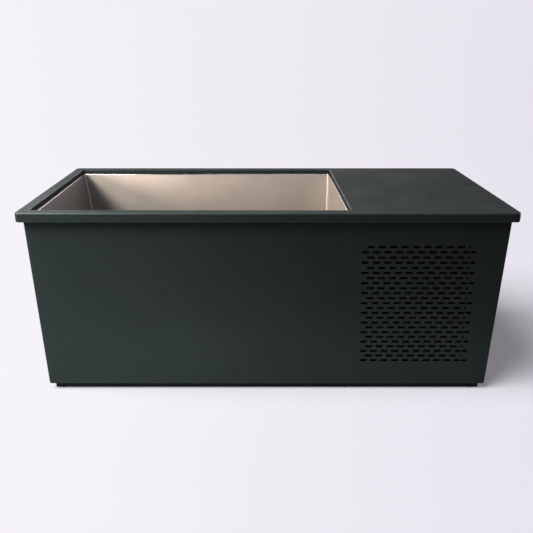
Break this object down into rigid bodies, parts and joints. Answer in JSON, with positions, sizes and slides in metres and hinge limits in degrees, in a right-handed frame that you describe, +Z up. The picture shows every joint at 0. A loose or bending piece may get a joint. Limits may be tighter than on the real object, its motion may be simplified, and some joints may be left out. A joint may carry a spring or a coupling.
{
  "type": "cold plunge tub",
  "caption": "Long insulated cold plunge tub with a stainless basin under a folded rim, and a chiller bay with a slotted front grille and a flat deck.",
  "frame": {"origin": "on the floor, under the middle of the rim", "axes": "+X from the basin towards the chiller bay, +Y from the grille face to the rear, +Z up"},
  "size_m": [1.8, 0.84, 0.73],
  "materials": {
    "powder": "matte powder coat, dark slate green",
    "stainless": "fine brushed stainless",
    "rubber": "black rubber",
    "frame": "black primer",
    "foam": "closed-cell foam",
    "zinc": "zinc-plated sheet",
    "plastic": "moulded black plastic",
    "pvc": "grey pipe",
    "copper": "drawn copper",
    "aluminium": "black-coated fins",
    "enamel": "black enamel",
    "brass": "cast brass",
    "lever": "red grip",
    "paper": "pleated filter medium"
  },
  "bodies": {
    "tub": {"top_deck": "powder", "front_panel": "powder", "left_end_panel": "powder", "right_end_panel": "powder", "rear_panel": "powder", "basin": "stainless", "drain_fitting": "stainless", "basin_gasket": "rubber", "foot_pad_front_left": "rubber", "foot_pad_front_middle": "rubber", "foot_pad_front_right": "rubber", "foot_pad_rear_left": "rubber", "foot_pad_rear_middle": "rubber", "foot_pad_rear_right": "rubber", "base_rail_front": "frame", "base_rail_rear": "frame", "base_rail_left": "frame", "base_rail_right": "frame", "cross_rail_middle": "frame", "cross_rail_bulkhead": "frame", "top_rail_front": "frame", "top_rail_rear": "frame", "bay_post_front_left": "frame", "bay_post_front_right": "frame", "bay_post_rear_left": "frame", "bay_post_rear_right": "frame", "insulation_front": "foam", "insulation_rear": "foam", "insulation_left": "foam", "insulation_floor": "foam", "insulation_bulkhead": "foam", "equipment_tray": "zinc", "fan_shroud": "zinc", "hinge_lower": "zinc", "hinge_upper": "zinc", "suction_fitting": "plastic", "return_fitting": "plastic", "heat_exchanger": "plastic", "circulation_pump": "plastic", "filter_housing": "plastic", "control_box": "plastic", "power_inlet": "plastic", "suction_pipe": "pvc", "filter_pipe": "pvc", "exchanger_pipe": "pvc", "return_pipe": "pvc", "drain_pipe": "pvc", "discharge_line": "copper", "liquid_line": "copper", "suction_line": "copper", "condenser_coil": "aluminium", "compressor": "enamel", "fan_motor": "enamel", "drain_valve_body": "brass", "filter_cartridge": "paper"},
    "door": {"service_door": "powder"},
    "latch": {"door_latch": "zinc"},
    "fan": {"fan_rotor": "plastic"},
    "valve_lever": {"drain_valve_lever": "lever"},
    "filter_lid": {"filter_cap": "plastic"}
  },
  "joints": [
    {"name": "service_door_hinge", "type": "hinge", "parent": "tub", "child": "door", "pos_m": [0.8305, 0.38983, 0.14984], "axis": [0, -0.0262, -0.9997], "range_deg": [0, 105]},
    {"name": "door_latch_turn", "type": "hinge", "parent": "door", "child": "latch", "pos_m": [0.364, 0.38923, 0.36], "axis": [0, 0.9997, -0.0262], "range_deg": [0, 90]},
    {"name": "fan_spin", "type": "hinge", "parent": "tub", "child": "fan", "pos_m": [0.563, -0.249, 0.33], "axis": [0, 1, 0], "continuous": true},
    {"name": "drain_valve_turn", "type": "hinge", "parent": "tub", "child": "valve_lever", "pos_m": [0.792, 0.1, 0.1], "axis": [0, 0, -1], "range_deg": [0, 90]},
    {"name": "filter_lid_twist", "type": "hinge", "parent": "tub", "child": "filter_lid", "pos_m": [0.69, 0.2, 0.33], "axis": [0, 0, 1], "range_deg": [0, 60]}
  ]
}
